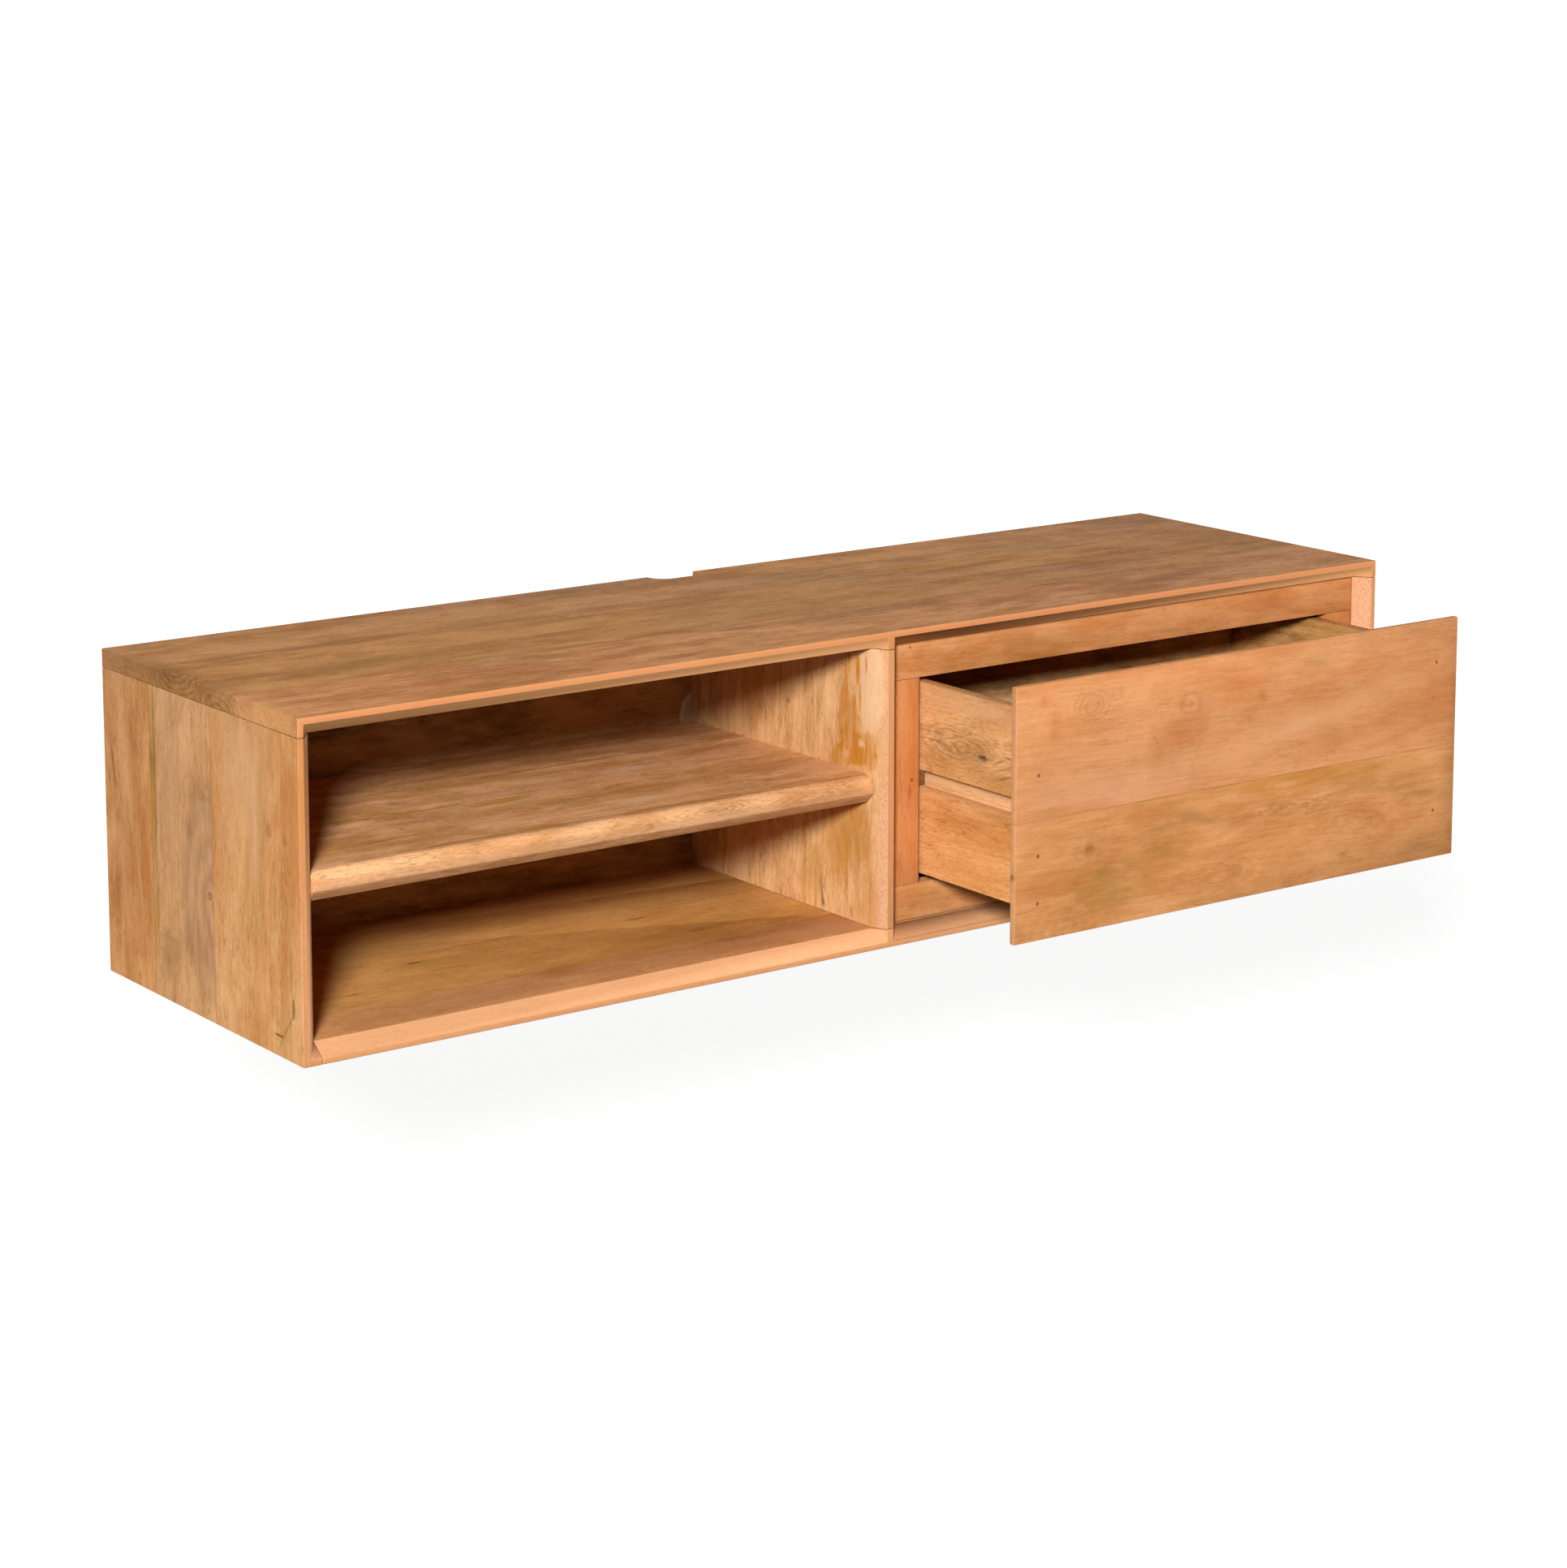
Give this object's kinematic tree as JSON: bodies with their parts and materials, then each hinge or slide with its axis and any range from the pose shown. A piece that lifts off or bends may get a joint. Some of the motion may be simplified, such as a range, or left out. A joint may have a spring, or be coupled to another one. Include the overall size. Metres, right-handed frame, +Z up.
{
  "type": "floating media console",
  "caption": "Wall-hung solid wood media cabinet with an open shelved bay and a framed bay with a handle-less overlay drawer on wooden side runners.",
  "frame": {"origin": "middle of the bottom board's rear edge, on the wall plane", "axes": "+X to the right seen from the front, +Y towards the wall, +Z up"},
  "size_m": [1.45, 0.592, 0.35],
  "materials": {
    "top_wood": "oiled, satin, muted brown with olive streaks",
    "side_wood": "oiled, satin, vertical grain",
    "divider_wood": "oiled, satin, pale with amber figure",
    "bottom_wood": "oiled, satin",
    "shelf_wood": "oiled, satin",
    "back_wood": "oiled, matt",
    "frame_wood": "oiled, satin, orange brown",
    "drawer_front_wood": "oiled, satin, two glued planks",
    "drawer_box_wood": "sanded, matt",
    "drawer_bottom_wood": "thin board, matt",
    "runner_wood": "planed, waxed",
    "hanging_rail_wood": "planed, matt",
    "dowel_wood": "beech, dry",
    "plate_steel": "zinc plated sheet",
    "screw_steel": "zinc plated",
    "nail_steel": "dull, dark filled heads"
  },
  "bodies": {
    "cabinet": {"top_board": "top_wood", "bottom_board": "bottom_wood", "left_side": "side_wood", "right_side": "side_wood", "divider": "divider_wood", "left_back_panel": "back_wood", "right_back_panel": "back_wood", "shelf": "shelf_wood", "frame_top_rail": "frame_wood", "frame_bottom_rail": "frame_wood", "frame_left_stile": "frame_wood", "frame_right_stile": "frame_wood", "left_runner": "runner_wood", "right_runner": "runner_wood", "left_runner_packer": "runner_wood", "right_runner_packer": "runner_wood", "left_hanging_rail": "hanging_rail_wood", "right_hanging_rail": "hanging_rail_wood", "left_keyhole_plate": "plate_steel", "right_keyhole_plate": "plate_steel", "top_left_dowel_1": "dowel_wood", "top_left_dowel_2": "dowel_wood", "top_left_dowel_3": "dowel_wood", "top_right_dowel_1": "dowel_wood", "top_right_dowel_2": "dowel_wood", "top_right_dowel_3": "dowel_wood", "bottom_left_dowel_1": "dowel_wood", "bottom_left_dowel_2": "dowel_wood", "bottom_right_dowel_1": "dowel_wood", "bottom_right_dowel_2": "dowel_wood", "divider_top_dowel_1": "dowel_wood", "divider_top_dowel_2": "dowel_wood", "divider_foot_dowel_1": "dowel_wood", "divider_foot_dowel_2": "dowel_wood", "shelf_left_dowel_1": "dowel_wood", "shelf_left_dowel_2": "dowel_wood", "shelf_right_dowel_1": "dowel_wood", "shelf_right_dowel_2": "dowel_wood", "left_plate_screw_1": "screw_steel", "left_plate_screw_2": "screw_steel", "left_runner_screw_1": "screw_steel", "left_runner_screw_2": "screw_steel", "right_plate_screw_1": "screw_steel", "right_plate_screw_2": "screw_steel", "right_runner_screw_1": "screw_steel", "right_runner_screw_2": "screw_steel", "left_stile_nail": "nail_steel", "right_stile_nail": "nail_steel"},
    "drawer": {"drawer_front": "drawer_front_wood", "drawer_left_side": "drawer_box_wood", "drawer_right_side": "drawer_box_wood", "drawer_back": "drawer_box_wood", "drawer_bottom": "drawer_bottom_wood", "left_drawer_nail_1": "nail_steel", "left_drawer_nail_2": "nail_steel", "left_drawer_nail_3": "nail_steel", "right_drawer_nail_1": "nail_steel", "right_drawer_nail_2": "nail_steel"}
  },
  "joints": [
    {"name": "drawer_slide", "type": "slide", "parent": "cabinet", "child": "drawer", "axis": [0, -1, 0], "range_m": [-0.172, 0.073]}
  ]
}
